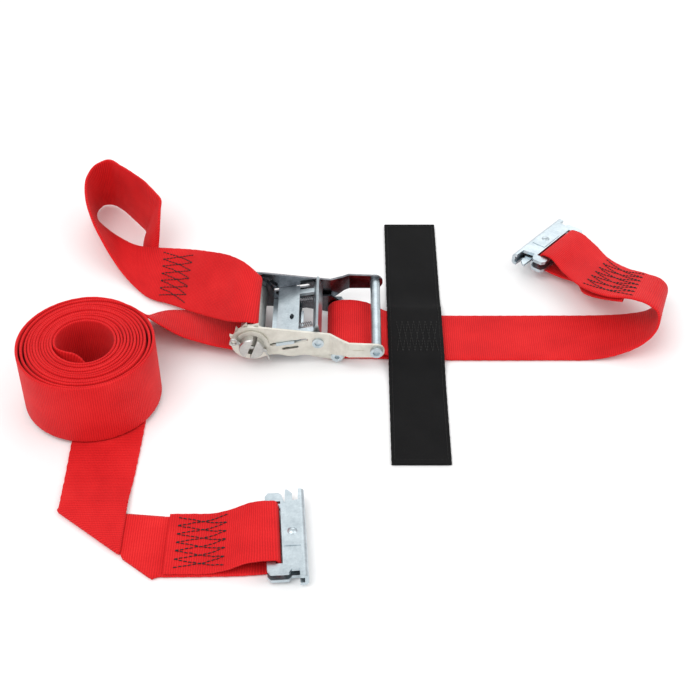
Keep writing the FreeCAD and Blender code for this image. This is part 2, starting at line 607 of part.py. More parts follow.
def long_fitting_loop():
    """Long strap under its fitting's bars, up through the slot and back on top, to the sewn end."""
    stations = [LONG_END[-1]]
    around = [(1.0, -OVER), (IN_SLOT - 1.6, -OVER + 0.2), (IN_SLOT, -3.4)]
    around += [(IN_SLOT, 3.4), (IN_SLOT - 1.6, OVER - 0.2), (1.0, OVER + 0.4)]
    stations += [fitting_station(LONG_POSE, u, w) for u, w in around]
    stations += [((6, -228.0, 11.0), (6, -178.0, 11.0)), ((-8, -229.4, 5.4), (-8, -179.4, 5.4))]
    stations += [((-20, -230.2, SECOND_LAYER), (-20, -180.2, SECOND_LAYER))]
    stations += [((-46.5, -230.4, SECOND_LAYER), (-46.5, -180.4, SECOND_LAYER))]
    return ribbon(stations, before=LONG_END[-2])


def main():
    """Write every node."""
    os.makedirs("parts", exist_ok=True)
    for side, name in ((-1, "near"), (1, "far")):
        export("frame_side_" + name, frame_side(side))
        export("handle_side_" + name, handle_side(side))
        export("ratchet_wheel_" + name, ratchet_wheel(side))
        export("spindle_washer_" + name, spindle_washer(side))
        export("cotter_pin_" + name, cotter_pin(side))
        export("drive_pawl_spring_" + name, drive_pawl_spring(side))
    export("spindle_half_left", half_bar(-1))
    export("spindle_half_right", half_bar(1))
    export("frame_cross_plate", frame_cross_plate())
    export("anchor_bolt", anchor_bolt())
    export("anchor_nut", anchor_nut())
    export("lock_pawl", lock_pawl())
    export("lock_pawl_spring", lock_pawl_spring())
    export("grip_tube", grip_tube())
    export("grip_bolt", grip_bolt())
    export("cross_rod", cross_rod())
    export("drive_pawl", drive_pawl())
    for pose, name in ((LONG_POSE, "long"), (SHORT_POSE, "short")):
        export("fitting_body_" + name, placed(fitting_body(), pose))
        export("fitting_latch_" + name, placed(fitting_latch(), pose))
        export("fitting_latch_spring_" + name, placed(latch_spring(), pose))
        export("fitting_rivet_" + name, placed(fitting_rivet(), pose))
    export("short_strap_anchor_loop", anchor_loop())
    loop = short_fitting_loop()
    export("short_strap_run", ribbon(SHORT_RUN, after=SHORT_FOLD[1]))
    export("short_strap_fold", ribbon(SHORT_FOLD, before=SHORT_RUN[-2], after=SHORT_RETURN[1]))
    export("short_strap_return", ribbon(SHORT_RETURN, before=SHORT_FOLD[-2], after=loop[1]))
    export("short_strap_fitting_loop", ribbon(loop, before=SHORT_RETURN[-2], after=SEWN_END[0]))
    export("short_strap_sewn_end", ribbon([loop[-1]] + SEWN_END, before=loop[-2]))
    export("storage_pad", storage_pad())
    export("long_strap_roll", roll())
    export("long_strap_lead", ribbon(LEAD, before=SPINDLE_LOWER[-2]))
    export("long_strap_spindle_pass", spindle_webbing())
    export("long_strap_tail", ribbon(TAIL, before=SPINDLE_UPPER[-2], after=PULL_LOOP[1]))
    export("pull_loop", ribbon(PULL_LOOP, before=TAIL[-2], after=LOOP_RETURN[1]))
    export("pull_loop_return", ribbon(LOOP_RETURN, before=PULL_LOOP[-2]))
    export("long_strap_run", long_run())
    export("long_strap_diagonal_fold", diagonal_fold())
    export("long_strap_end_run", ribbon(LONG_END))
    export("long_strap_fitting_loop", long_fitting_loop())


main()
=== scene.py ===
"""Ratchet strap with two track fittings: the visual model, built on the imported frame."""

import copy
import math

import bmesh
import bpy
import numpy as np
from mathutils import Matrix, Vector


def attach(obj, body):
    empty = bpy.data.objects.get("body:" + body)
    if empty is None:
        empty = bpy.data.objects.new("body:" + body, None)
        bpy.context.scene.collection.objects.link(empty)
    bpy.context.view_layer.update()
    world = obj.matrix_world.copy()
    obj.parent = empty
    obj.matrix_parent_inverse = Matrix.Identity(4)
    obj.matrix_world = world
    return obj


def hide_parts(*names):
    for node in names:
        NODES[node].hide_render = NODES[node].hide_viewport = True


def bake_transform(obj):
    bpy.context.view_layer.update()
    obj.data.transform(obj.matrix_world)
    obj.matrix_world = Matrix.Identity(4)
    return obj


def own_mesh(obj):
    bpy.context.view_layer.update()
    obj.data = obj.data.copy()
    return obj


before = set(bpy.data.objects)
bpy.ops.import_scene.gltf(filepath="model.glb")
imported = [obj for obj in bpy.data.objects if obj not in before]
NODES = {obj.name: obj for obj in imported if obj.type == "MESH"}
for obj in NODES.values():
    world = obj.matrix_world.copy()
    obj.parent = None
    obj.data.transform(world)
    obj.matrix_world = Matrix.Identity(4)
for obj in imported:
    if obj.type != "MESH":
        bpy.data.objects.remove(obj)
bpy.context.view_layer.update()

MM = 0.001
WEB = 50.0                                   # webbing width, mm
WEB_THICK = 2.0
ON_FLOOR = 1.1
SECOND_LAYER = 3.45
RIB = 0.00155                                # pitch of the ribs across the webbing, m
YARN = 0.0011                                # pitch of the yarns along it, m
AXIS_Z = 21.5
random = np.random.default_rng(5)


# ---- node helpers --------------------------------------------------------------------------
def new_material(name):
    """A material, its node tree and its Principled shader."""
    material = bpy.data.materials.new(name)
    material.use_nodes = True
    tree = material.node_tree
    shader = tree.nodes["Principled BSDF"]
    return material, tree, shader


def node(tree, kind, **settings):
    """A node with properties and input defaults set by name."""
    made = tree.nodes.new(kind)
    for key, value in settings.items():
        if hasattr(made, key):
            setattr(made, key, value)
        else:
            made.inputs[key.replace("_", " ")].default_value = value
    return made


def math_node(tree, operation, first, second=None):
    """A Math node whose inputs are sockets or numbers."""
    made = tree.nodes.new("ShaderNodeMath")
    made.operation = operation
    for index, value in enumerate((first, second)):
        if value is None:
            continue
        if isinstance(value, (int, float)):
            made.inputs[index].default_value = value
        else:
            tree.links.new(value, made.inputs[index])
    return made.outputs[0]


def plus(tree, first, second):
    """Sum of two sockets or numbers."""
    return math_node(tree, "ADD", first, second)


def times(tree, first, second):
    """Product of two sockets or numbers."""
    return math_node(tree, "MULTIPLY", first, second)


def ramp(tree, factor, stops):
    """A colour ramp: stops are (position, colour)."""
    made = tree.nodes.new("ShaderNodeValToRGB")
    elements = made.color_ramp.elements
    while len(elements) < len(stops):
        elements.new(0.5)
    for element, (position, colour) in zip(elements, stops):
        element.position = position
        element.color = tuple(colour) + (1.0,)
    tree.links.new(factor, made.inputs[0])
    return made.outputs[0]


def noise(tree, vector, scale, detail=3.0, roughness=0.55):
    """A noise texture's factor."""
    made = tree.nodes.new("ShaderNodeTexNoise")
    made.inputs["Scale"].default_value = scale
    made.inputs["Detail"].default_value = detail
    made.inputs["Roughness"].default_value = roughness
    tree.links.new(vector, made.inputs["Vector"])
    return made.outputs[0]


def scaled(tree, vector, scale):
    """A vector multiplied by three factors."""
    made = tree.nodes.new("ShaderNodeVectorMath")
    made.operation = "MULTIPLY"
    made.inputs[1].default_value = scale
    tree.links.new(vector, made.inputs[0])
    return made.outputs[0]


def bump(tree, shader, height, strength, distance):
    """Bump from a height, onto the shader."""
    made = tree.nodes.new("ShaderNodeBump")
    made.inputs["Strength"].default_value = strength
    made.inputs["Distance"].default_value = distance
    tree.links.new(height, made.inputs["Height"])
    tree.links.new(made.outputs[0], shader.inputs["Normal"])


def webbing_material(name, dark_tone_and_groove_shade, ridge, bright):
    """Woven webbing: ribs across the strap, yarns along them, slow random changes of tone; the rib and
    yarn terms also paint shade into the grooves and light onto the ridges.
    """
    material, tree, shader = new_material(name)
    uv = node(tree, "ShaderNodeUVMap", uv_map="UVMap").outputs[0]
    parts = tree.nodes.new("ShaderNodeSeparateXYZ")
    tree.links.new(uv, parts.inputs[0])
    along, across = parts.outputs[0], parts.outputs[1]
    waver = noise(tree, scaled(tree, uv, (60, 160, 1)), 1.0, 2.0)
    shifted = plus(tree, along, times(tree, waver, 0.0006))
    rib = math_node(tree, "SINE", times(tree, shifted, 2 * math.pi / RIB))
    rib = plus(tree, times(tree, rib, 0.5), 0.5)
    yarn = math_node(tree, "SINE", times(tree, across, 2 * math.pi / YARN))
    yarn = times(tree, yarn, 0.14)
    fleck = noise(tree, scaled(tree, uv, (900, 2600, 1)), 1.0, 2.0)
    slow = noise(tree, scaled(tree, uv, (22, 30, 1)), 1.0, 3.0)
    # The rib and yarn terms follow the bump height: painted shade in the grooves, painted light on the
    # ridges; fleck and slow noise are random tone.
    tone = plus(tree, times(tree, rib, 0.26), times(tree, fleck, 0.58))
    tone = plus(tree, tone, times(tree, math_node(tree, "SUBTRACT", slow, 0.5), 0.6))
    tone = plus(tree, tone, times(tree, yarn, 0.5))
    colour = ramp(tree, tone, [(0.08, dark_tone_and_groove_shade), (0.45, ridge), (0.95, bright)])
    tree.links.new(colour, shader.inputs["Base Color"])
    rough = plus(tree, times(tree, fleck, 0.25), 0.58)
    tree.links.new(rough, shader.inputs["Roughness"])
    shader.inputs["Sheen Weight"].default_value = 0.04
    shader.inputs["Sheen Roughness"].default_value = 0.5
    shader.inputs["Specular IOR Level"].default_value = 0.16
    height = plus(tree, rib, times(tree, fleck, 0.6))
    bump(tree, shader, plus(tree, height, yarn), 0.4, 0.0003)
    return material


def pad_material():
    """Black hook-and-loop strip: matt, finely fuzzy."""
    material, tree, shader = new_material("pad_black")
    uv = node(tree, "ShaderNodeUVMap", uv_map="UVMap").outputs[0]
    fuzz = noise(tree, scaled(tree, uv, (1500, 1500, 1)), 1.0, 4.0, 0.7)
    slow = noise(tree, scaled(tree, uv, (40, 40, 1)), 1.0, 3.0)
    tone = plus(tree, times(tree, fuzz, 0.6), times(tree, slow, 0.4))
    colour = ramp(tree, tone, [(0.3, (0.003, 0.003, 0.0033)), (0.75, (0.0105, 0.0105, 0.011))])
    tree.links.new(colour, shader.inputs["Base Color"])
    tree.links.new(plus(tree, times(tree, fuzz, 0.2), 0.75), shader.inputs["Roughness"])
    shader.inputs["Specular IOR Level"].default_value = 0.15
    bump(tree, shader, fuzz, 0.6, 0.0006)
    return material


def thread_material(name, dark, light):
    """Sewing thread with a fine twist."""
    material, tree, shader = new_material(name)
    place = tree.nodes.new("ShaderNodeTexCoord").outputs["Object"]
    grain = noise(tree, place, 2500.0, 2.0)
    tree.links.new(ramp(tree, grain, [(0.3, dark), (0.7, light)]), shader.inputs["Base Color"])
    shader.inputs["Roughness"].default_value = 0.7
    bump(tree, shader, grain, 0.4, 0.0001)
    return material


def steel_material(name, dark, light, rough, spread, grain_scale=(600, 600, 600)):
    """Plated steel: cloudy tone, fine scratches and uneven gloss."""
    material, tree, shader = new_material(name)
    place = tree.nodes.new("ShaderNodeTexCoord").outputs["Object"]
    cloud = noise(tree, place, 90.0, 4.0, 0.6)
    grain = noise(tree, scaled(tree, place, grain_scale), 1.0, 3.0, 0.6)
    mixed = plus(tree, times(tree, cloud, 0.65), times(tree, grain, 0.35))
    tree.links.new(ramp(tree, mixed, [(0.34, dark), (0.66, light)]), shader.inputs["Base Color"])
    gloss = plus(tree, times(tree, mixed, spread), rough - spread / 2)
    tree.links.new(gloss, shader.inputs["Roughness"])
    shader.inputs["Metallic"].default_value = 1.0
    bump(tree, shader, mixed, 0.12, 0.00012)
    return material


# The darkest stop is the weave's own dark tone and painted shade in the rib grooves.
RED = webbing_material("webbing_red", (0.40, 0.004, 0.006), (0.67, 0.009, 0.012), (0.88, 0.042, 0.038))
THREAD = thread_material("thread_black", (0.003, 0.003, 0.004), (0.014, 0.012, 0.012))
PAD = pad_material()
PAD_THREAD = thread_material("thread_on_pad", (0.0015, 0.0015, 0.0015), (0.005, 0.005, 0.005))
ZINC = steel_material("zinc_blue_white", (0.40, 0.47, 0.51), (0.64, 0.72, 0.76), 0.36, 0.22)
PLATE = steel_material("plate_warm_grey", (0.60, 0.58, 0.52), (0.76, 0.745, 0.68), 0.52, 0.2,
                       (260, 900, 260))
# Far-side plates, wheel and washer: a darker copy of the plate steel, painted shade and painted dark
# reflection; the same parts on the near side use the light plate colour.
SHADED_PLATE_COPY = steel_material("plate_painted_shade", (0.07, 0.072, 0.08), (0.20, 0.205, 0.22), 0.2, 0.16)
SPINDLE = steel_material("spindle_grey", (0.36, 0.36, 0.35), (0.62, 0.61, 0.58), 0.34, 0.2,
                         (900, 200, 900))
SPRING = steel_material("spring_wire", (0.26, 0.27, 0.29), (0.44, 0.45, 0.47), 0.3, 0.16)


# ---- webbing -------------------------------------------------------------------------------
class Strap:
    """A strip between a near and a far edge, smooth through its stations, in mm."""

    def __init__(self, stations, step=1.6, thick=WEB_THICK, waver=0.12):
        line = np.array([list(a) + list(b) for a, b in stations], float)
        edges, self.marks = smooth(line, step)
        near, far = edges[:, :3], edges[:, 3:]
        middle = (near + far) / 2
        gaps = np.linalg.norm(np.diff(middle, axis=0), axis=1)
        self.u = np.concatenate([[0.0], np.cumsum(gaps)])
        across = unit(far - near)
        if waver:
            shake = waver * np.sin(self.u * 0.9) * np.sin(self.u * 0.23 + 1.0)
            near = near + across * shake[:, None]
            far = far + across * (waver * np.sin(self.u * 0.83 + 2.0) * np.sin(self.u * 0.19))[:, None]
        self.near, self.far, self.thick = near, far, thick
        tangent = unit(np.gradient(middle, axis=0))
        self.normal = unit(np.cross(across, tangent))
        self.tangent = tangent

    def at(self, u, t, lift=0.0):
        """Point at a length u, a share t of the width from the near edge, above the mid surface."""
        near = np.array([np.interp(u, self.u, self.near[:, k]) for k in range(3)])
        far = np.array([np.interp(u, self.u, self.far[:, k]) for k in range(3)])
        normal = np.array([np.interp(u, self.u, self.normal[:, k]) for k in range(3)])
        return near + (far - near) * t + unit(normal) * lift

    def length(self):
        return float(self.u[-1] - self.u[0])

    def part(self, first, last):
        """The stretch between two stations, with the whole strip's own lengths and normals."""
        piece = copy.copy(self)
        low, high = self.marks[first], self.marks[last] + 1
        piece.u, piece.near, piece.far = self.u[low:high], self.near[low:high], self.far[low:high]
        piece.normal, piece.tangent = self.normal[low:high], self.tangent[low:high]
        return piece


def unit(vectors):
    """Vectors of length one."""
    size = np.linalg.norm(vectors, axis=-1, keepdims=True)
    return vectors / np.maximum(size, 1e-9)


def smooth(line, step):
    """Points of a smooth curve through the rows of line, and each row's place among them."""
    middle = (line[:, :3] + line[:, 3:]) / 2
    spans = np.maximum(np.linalg.norm(np.diff(middle, axis=0), axis=1), 1e-3)
    slopes = np.diff(line, axis=0) / spans[:, None]
    tangents = np.empty_like(line)
    tangents[0], tangents[-1] = slopes[0], slopes[-1]
    for i in range(1, len(line) - 1):
        a, b = spans[i - 1], spans[i]
        tangents[i] = (slopes[i] * a + slopes[i - 1] * b) / (a + b)
    rows, marks = [], []
    for i, span in enumerate(spans):
        count = max(2, int(math.ceil(span / step)))
        marks.append(len(rows))
        for k in range(count):
            s = k / count
            h0, h1 = 2 * s**3 - 3 * s**2 + 1, s**3 - 2 * s**2 + s
            h2, h3 = -2 * s**3 + 3 * s**2, s**3 - s**2
            point = h0 * line[i] + h1 * span * tangents[i]
            rows.append(point + h2 * line[i + 1] + h3 * span * tangents[i + 1])
    marks.append(len(rows))
    rows.append(line[-1])
    return np.array(rows), marks


COLUMNS = [0.0, 0.008, 0.024, 0.12, 0.24, 0.37, 0.5, 0.63, 0.76, 0.88, 0.976, 0.992, 1.0]
END_ROW = 0.03                               # share of a step from a cut end to its support row
EDGE = [0.35, 0.8, 1.0, 1.0, 1.0, 1.0, 1.0, 1.0, 1.0, 1.0, 1.0, 0.8, 0.35]


def rows_at(table, places):
    """Rows of a table at whole and part row numbers."""
    steps = np.arange(len(table))
    return np.stack([np.interp(places, steps, table[:, k]) for k in range(table.shape[1])], axis=1)


def make_object(name, vertices, faces, material, uvs=None, flat_faces=()):
    """A mesh object from lists, in mm, with smooth shading."""
    mesh = bpy.data.meshes.new(name)
    mesh.from_pydata([tuple(c * MM for c in v) for v in vertices], [], faces)
    mesh.polygons.foreach_set("use_smooth", [True] * len(faces))
    for index in flat_faces:
        mesh.polygons[index].use_smooth = False
    if uvs is not None:
        layer = mesh.uv_layers.new(name="UVMap")
        loops = np.empty(len(mesh.loops), int)
        mesh.loops.foreach_get("vertex_index", loops)
        layer.data.foreach_set("uv", np.array(uvs, float)[loops].ravel())
    mesh.materials.append(material)
    mesh.update()
    obj = bpy.data.objects.new(name, mesh)
    bpy.context.scene.collection.objects.link(obj)
    return obj


def supported(last_row):
    """Row numbers up to the last, with a support row close to either end."""
    return [0.0, END_ROW] + list(range(1, last_row)) + [last_row - END_ROW, float(last_row)]


def strap_object(name, strap, material=RED, start=0.0, width=WEB):
    """The strip as a closed solid with rounded selvages."""
    count = len(COLUMNS)
    shares = np.array(COLUMNS)
    half = strap.thick / 2 * np.array(EDGE)
    vertices, uvs, faces = [], [], []
    rows = supported(len(strap.u) - 1)
    near, far = rows_at(strap.near, rows), rows_at(strap.far, rows)
    normals, lengths = unit(rows_at(strap.normal, rows)), rows_at(strap.u[:, None], rows)[:, 0]
    for i in range(len(rows)):
        base = near[i] + (far[i] - near[i]) * shares[:, None]
        top = base + normals[i] * half[:, None]
        low = base - normals[i] * half[:, None]
        vertices.extend(top.tolist())
        vertices.extend(low[::-1].tolist())
        place = (lengths[i] + start) * MM
        uvs.extend([(place, t * width * MM) for t in COLUMNS])
        uvs.extend([(place, t * width * MM) for t in reversed(COLUMNS)])
    ring = 2 * count
    for i in range(len(rows) - 1):
        for j in range(ring):
            a, b = i * ring + j, i * ring + (j + 1) % ring
            faces.append((a, b, b + ring, a + ring))
    caps = []
    last = (len(rows) - 1) * ring
    for j in range(count - 1):
        caps.append(len(faces))
        faces.append((j + 1, j, ring - 1 - j, ring - 2 - j))
        caps.append(len(faces))
        faces.append((last + j, last + j + 1, last + ring - 2 - j, last + ring - 1 - j))
    return make_object(name, vertices, faces, material, uvs, caps)


STITCH_GAP = 0.5                             # between one stitch and the next, mm


def stitch_run(strap, path, pitch=3.1, radius=0.26, lift=0.0, jitter=0.12):
    """Vertices and faces of a row of stitches along a path of (u, t) on the strap."""
    vertices, faces = [], []
    for (u0, t0), (u1, t1) in zip(path, path[1:]):
        length = math.hypot(u1 - u0, (t1 - t0) * WEB)
        count = max(1, int(round(length / pitch)))
        for k in range(count):
            inset = STITCH_GAP / pitch / 2
            first, last = (k + inset) / count, (k + 1 - inset) / count
            shake = random.normal(0, jitter, 2)
            rings = []
            for m in range(5):
                s = first + (last - first) * m / 4
                rise = (0.10, 0.75, 1.0, 0.75, 0.10)[m]
                u = u0 + (u1 - u0) * s + shake[0] * 0.3
                t = t0 + (t1 - t0) * s + shake[1] / WEB
                rings.append((strap.at(u, t, lift + rise * radius * 0.9), radius * (0.55 + 0.45 * rise)))
            add_tube(vertices, faces, rings, strap.at(u0, t0, lift + 1) - strap.at(u0, t0, lift))
    return vertices, faces


def add_tube(vertices, faces, rings, up, sides=6):
    """A closed tube through rings of (centre, radius), added to the lists."""
    start = len(vertices)
    direction = unit(rings[-1][0] - rings[0][0])
    side = unit(np.cross(direction, up))
    upward = np.cross(side, direction)
    for centre, radius in rings:
        for k in range(sides):
            turn = 2 * math.pi * k / sides
            spoke = side * radius * math.cos(turn) + upward * radius * math.sin(turn)
            vertices.append((centre + spoke).tolist())
    for r in range(len(rings) - 1):
        for k in range(sides):
            a, b = start + r * sides + k, start + r * sides + (k + 1) % sides
            faces.append((a, b, b + sides, a + sides))
    faces.append(tuple(start + k for k in reversed(range(sides))))
    faces.append(tuple(start + (len(rings) - 1) * sides + k for k in range(sides)))


def zigzags(u0, u1, t0, t1, rows):
    """Two zigzags that cross halfway, their points at both ends of the sewn patch."""
    paths = []
    for phase in (0, 1):
        path = []
        for k in range(rows + 1):
            u = u0 if (k + phase) % 2 == 0 else u1
            path.append((u, t0 + (t1 - t0) * k / rows))
        paths.append(path)
    return paths


def sewn_patch(name, strap, u0, u1, t0=0.08, t1=0.92, rows=6, material=THREAD, radius=0.4, skew=0.0):
    """Thread of a sewn patch on the strap's upper face, its far side shifted by the skew."""
    vertices, faces = [], []
    for path in zigzags(u0, u1, t0, t1, rows):
        path = [(u + skew * (t - 0.5), t) for u, t in path]
        more, extra = stitch_run(strap, path, lift=strap.thick / 2, radius=radius)
        faces.extend(tuple(i + len(vertices) for i in face) for face in extra)
        vertices.extend(more)
    obj = make_object(name, vertices, faces, material)
    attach(obj, "frame")
    return obj


def declare(strap):
    max(strap.length() * MM, 0.012)


def flat(points):
    """Stations of webbing whose width lies along Y: each point is (x, z, mid y)."""
    return [((x, mid - WEB / 2, z), (x, mid + WEB / 2, z)) for x, z, mid in points]


# ---- E-fitting frames ----------------------------------------------------------------------
class Pose:
    """A fitting's frame: u outward, v along, w up."""

    def __init__(self, origin, u, v):
        self.origin = np.array(origin, float)
        self.u = unit(np.array(u, float))
        self.w = unit(np.cross(self.u, np.array(v, float)))
        self.v = unit(np.cross(self.w, self.u))

    def point(self, u, v, w):
        return self.origin + self.u * u + self.v * v + self.w * w

    def station(self, u, w, turned=False):
        near, far = self.point(u, -WEB / 2, w), self.point(u, WEB / 2, w)
        return (far, near) if turned else (near, far)


LONG = Pose((17.6, -203.5, 7.4), (0.9976, 0.0698, 0), (-0.0698, 0.9976, 0))
SHORT = Pose((241.5, 89.4, 11.0), (-0.807, 0.590, 0), (-0.585, -0.80, 0.13))
OVER = 6.2
IN_SLOT = 7.75


# ---- short strap ---------------------------------------------------------------------------
ANCHOR_LOOP = flat([
    (138, SECOND_LAYER, -2.6), (122, SECOND_LAYER, -2.3), (102, SECOND_LAYER + 0.2, -1.4), (93, 7.4, -1.0),
    (85, 12.2, -0.7), (75, 14.7, -0.5), (65, 14.7, -0.4), (58.4, 12.4, -0.3), (55.6, 8.0, -0.3),
    (56.6, 3.9, -0.3), (60.0, 1.5, -0.3), (66, ON_FLOOR, -0.4), (84, ON_FLOOR, -0.7),
])
SHORT_RUN = flat([
    (100, ON_FLOOR, -1.4), (130, ON_FLOOR, -2.5), (180, ON_FLOOR, -2.8), (225, ON_FLOOR, -2.7),
])
SHORT_FOLD = [
    ((249, -27.7, 1.4), (249, 22.3, 1.15)),
    ((268, -27.7, 6.0), (272, 22.3, 1.8)),
    ((282, -27.5, 13.5), (287, 22.5, 3.2)),
    ((290.5, -27, 22), (299, 23, 6.0)),
    ((294.5, -26, 30), (307.5, 25.5, 11.5)),
    ((296, -22, 36), (312.5, 29, 17.5)),
    ((295, -17.5, 39), (312.8, 32, 22.0)),
    ((290, -11, 40), (309, 35, 26.0)),
    ((280, -3.2, 39), (299, 42, 26.0)),
    ((262, 11.2, 30.5), (286.6, 53.7, 22.0)),
    ((247, 31.5, 23.0), (274.6, 72.5, 17.5)),
    ((236.5, 53.4, 19.0), (266.0, 94.0, 15.5)),
]
SHORT_LOOP = [SHORT_FOLD[-1]] + [SHORT.station(u, w, True) for u, w in (
    (2.5, OVER + 0.3), (IN_SLOT - 1.1, OVER - 0.6), (IN_SLOT, 3.0), (IN_SLOT, -3.0),
    (IN_SLOT - 1.1, -OVER + 0.6), (2.0, -OVER), (-12.0, -OVER - 0.4), (-24.0, -OVER + 0.8))]
SHORT_END = [
    SHORT_LOOP[-1], ((250.5, 31.0, 16.2), (276.5, 71.0, 11.5)),
    ((264, 12.6, 25.6), (287.5, 53.6, 17.5)), ((273.0, 2.2, 32.4), (291.5, 48.6, 20.4)),
]

SHORT_MAIN = ANCHOR_LOOP + SHORT_RUN + SHORT_FOLD
short_whole = Strap(SHORT_MAIN + SHORT_LOOP[1:] + SHORT_END[1:], step=1.3)
turn_in, turn_out = len(SHORT_MAIN) - 1, len(SHORT_MAIN) + len(SHORT_LOOP) - 2
short_main = short_whole.part(0, turn_in)
short_main_piece = strap_object("short_strap", short_main)
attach(short_main_piece, "frame")
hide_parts("short_strap_anchor_loop", "short_strap_run", "short_strap_fold",
            "short_strap_return")
declare(short_main)

short_end = short_whole.part(turn_out, len(short_whole.marks) - 1)
short_end_piece = strap_object("short_strap_end", short_end)
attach(short_end_piece, "frame")
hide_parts("short_strap_sewn_end")
declare(short_end)

short_loop = short_whole.part(turn_in, turn_out)
short_loop_piece = strap_object("short_strap_loop", short_loop)
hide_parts("short_strap_fitting_loop")
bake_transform(short_loop_piece)
declare(short_loop)

# ---- long strap ----------------------------------------------------------------------------
ROLL = np.array([-111.5, -65.5])
ROLL_TOP, ROLL_FOOT = 52.4, 2.6
OUTER, TURNS, PITCH, SLACK = 49.2, 12.3, 2.08, 2.9


def spiral():
    """Stations of the roll, wound inward and counter-clockwise from the back."""
    stations = []
    for k in range(int(TURNS * 48) + 1):
        turn = k / 48
        angle = math.pi / 2 + 2 * math.pi * turn
        slack = SLACK * min(1.0, max(0.0, (turn - 0.2) / 2.4)) * (0.5 + 0.5 * math.cos(angle - 0.3) ** 2)
        radius = OUTER - PITCH * turn - slack
        centre = ROLL + np.array([-2.6, 1.8]) * turn / TURNS
        x, y = centre + radius * np.array([math.cos(angle), math.sin(angle)])
        sway = 0.55 * math.sin(turn * 2.39 + 0.4) + 0.35 * math.sin(turn * 5.1)
        sway += 0.3 * math.sin(angle + turn)
        rise = min(1.0, turn / 0.25)
        lean = 1.3 * max(0.0, math.cos(angle + 0.7)) * max(0.0, 1 - abs(turn - 0.6) / 0.6)
        inward = -lean * np.array([math.cos(angle), math.sin(angle)])
        top = (x + inward[0], y + inward[1], ROLL_TOP + 0.8 * sway * rise)
        stations.append((top, (x, y, ROLL_FOOT + 0.25 * (1 + sway / 1.2) * rise)))
    return stations


LEAD = [
    ((-37, -20, 11), (-38.5, 28, 2.2)),
    ((-52, -19.0, 16.5), (-54, 28.0, 1.9)),
    ((-68.5, -17.0, 27.0), (-72, 26.0, 2.2)),
    ((-82, -14.8, 37.0), (-86, 15.0, 3.6)),
    ((-96, -14.6, 47.0), (-98, -6.0, 3.4)),
]
OUT_OF_ROLL = [
    ((-134.8, -64.5, 52.0), (-135.0, -64.0, 2.8)),
    ((-132.8, -70.0, 51.6), (-133.8, -69.0, 2.4)),
    ((-127.0, -72.8, 50.6), (-131.8, -74.0, 2.0)),
    ((-118.5, -73.6, 48.4), (-129.6, -78.5, 1.6)),
    ((-111.0, -77.0, 41.0), (-127.6, -84.0, 1.4)),
    ((-105.5, -82.5, 26.0), (-125.6, -88.0, 1.4)),
    ((-100.0, -84.0, 9.0), (-124.0, -91.0, 1.4)),
]
LONG_RUN = [((right, y, z), (left, y, z)) for y, z, left, right in (
    (-60.0, 1.1, -121.8, -72.4), (-85.0, 1.1, -121.8, -72.4), (-120.0, 1.15, -121.7, -73.4),
    (-148.0, 1.2, -121.4, -74.6), (-160.0, 2.5, -121.1, -75.2), (-170.0, 3.45, -120.8, -75.6))]


def long_wound():
    """Lead and roll as one strip, down to where it dips into the middle."""
    wound = spiral()
    while wound[-1][1][1] < -63.0 or wound[-1][1][0] > -125.0:
        wound.pop()
    return LEAD + wound[1:] + OUT_OF_ROLL


long_main = Strap(long_wound(), step=1.8, thick=1.9, waver=0.1)
long_main_piece = strap_object("long_strap", long_main)
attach(long_main_piece, "frame")
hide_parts("long_strap_lead", "long_strap_roll")
declare(long_main)

FOLD_OUTER, FOLD_INNER = np.array([-121.0, -175.0]), np.array([-52.0, -231.0])
RUN_LEFT, RUN_RIGHT, RUN_END = -120.8, -75.6, -170.0
CREASE = unit(FOLD_INNER - FOLD_OUTER)
OUTWARD = np.array([CREASE[1], -CREASE[0]])
UNDER_START, END_START = 550.0, 575.0        # lengths along the strap where these pieces begin, mm


def fold_piece():
    """The layer from the roll, bent round the diagonal crease to just under itself."""
    upper, lower = SECOND_LAYER, ON_FLOOR
    radius = (upper - lower) / 2
    rows = []
    run_x = np.linspace(RUN_RIGHT, RUN_LEFT, 33)
    crease = [FOLD_OUTER[1] + (x - FOLD_OUTER[0]) * CREASE[1] / CREASE[0] for x in run_x]
    stations = [("upper", s) for s in (0.0, 0.25, 0.5, 0.75, 0.93)]
    stations += [("bend", a) for a in (0, 25, 50, 75, 105, 130, 155, 180)]
    stations += [("under", 4.0)]
    for kind, value in stations:
        row = []
        for x, y in zip(run_x, crease):
            if kind == "upper":
                point = (x, RUN_END + (y - RUN_END) * value, upper)
                place = RUN_END - point[1]
            elif kind == "bend":
                turn = math.radians(value)
                shift = OUTWARD * radius * math.sin(turn)
                point = (x + shift[0], y + shift[1], lower + radius + radius * math.cos(turn))
                place = RUN_END - y + radius * turn
            else:
                point = (x - OUTWARD[0] * value, y - OUTWARD[1] * value, lower)
                place = RUN_END - y + radius * math.pi + value
            row.append((point, (place, RUN_RIGHT - x)))
        rows.append(row)
    return rows


def lower_layer():
    """The layer from the diagonal crease to the fitting, flat on the floor."""
    rows = []
    for s in np.linspace(0, 1, 26):
        row = []
        for t in np.linspace(0, 1, 21):
            covered = min(1.0, max(0.0, (t - 0.32) / 0.05))
            start = FOLD_INNER + (FOLD_OUTER - FOLD_INNER) * t + OUTWARD * (2.2 - 3.6 * covered)
            end = np.array([-50.0, -231.0 + 50.3 * t])
            x, y = start + (end - start) * s
            fade = math.sin(math.pi * s) ** 2 * (1 - t) ** 0.5
            ripple = 0.35 * math.sin(x * 0.55 + 1.5 * math.sin(y * 0.2)) * fade
            row.append(((x, y, ON_FLOOR + max(0.0, ripple)), (x + 75.0, y + 231.0)))
        rows.append(row)
    return rows


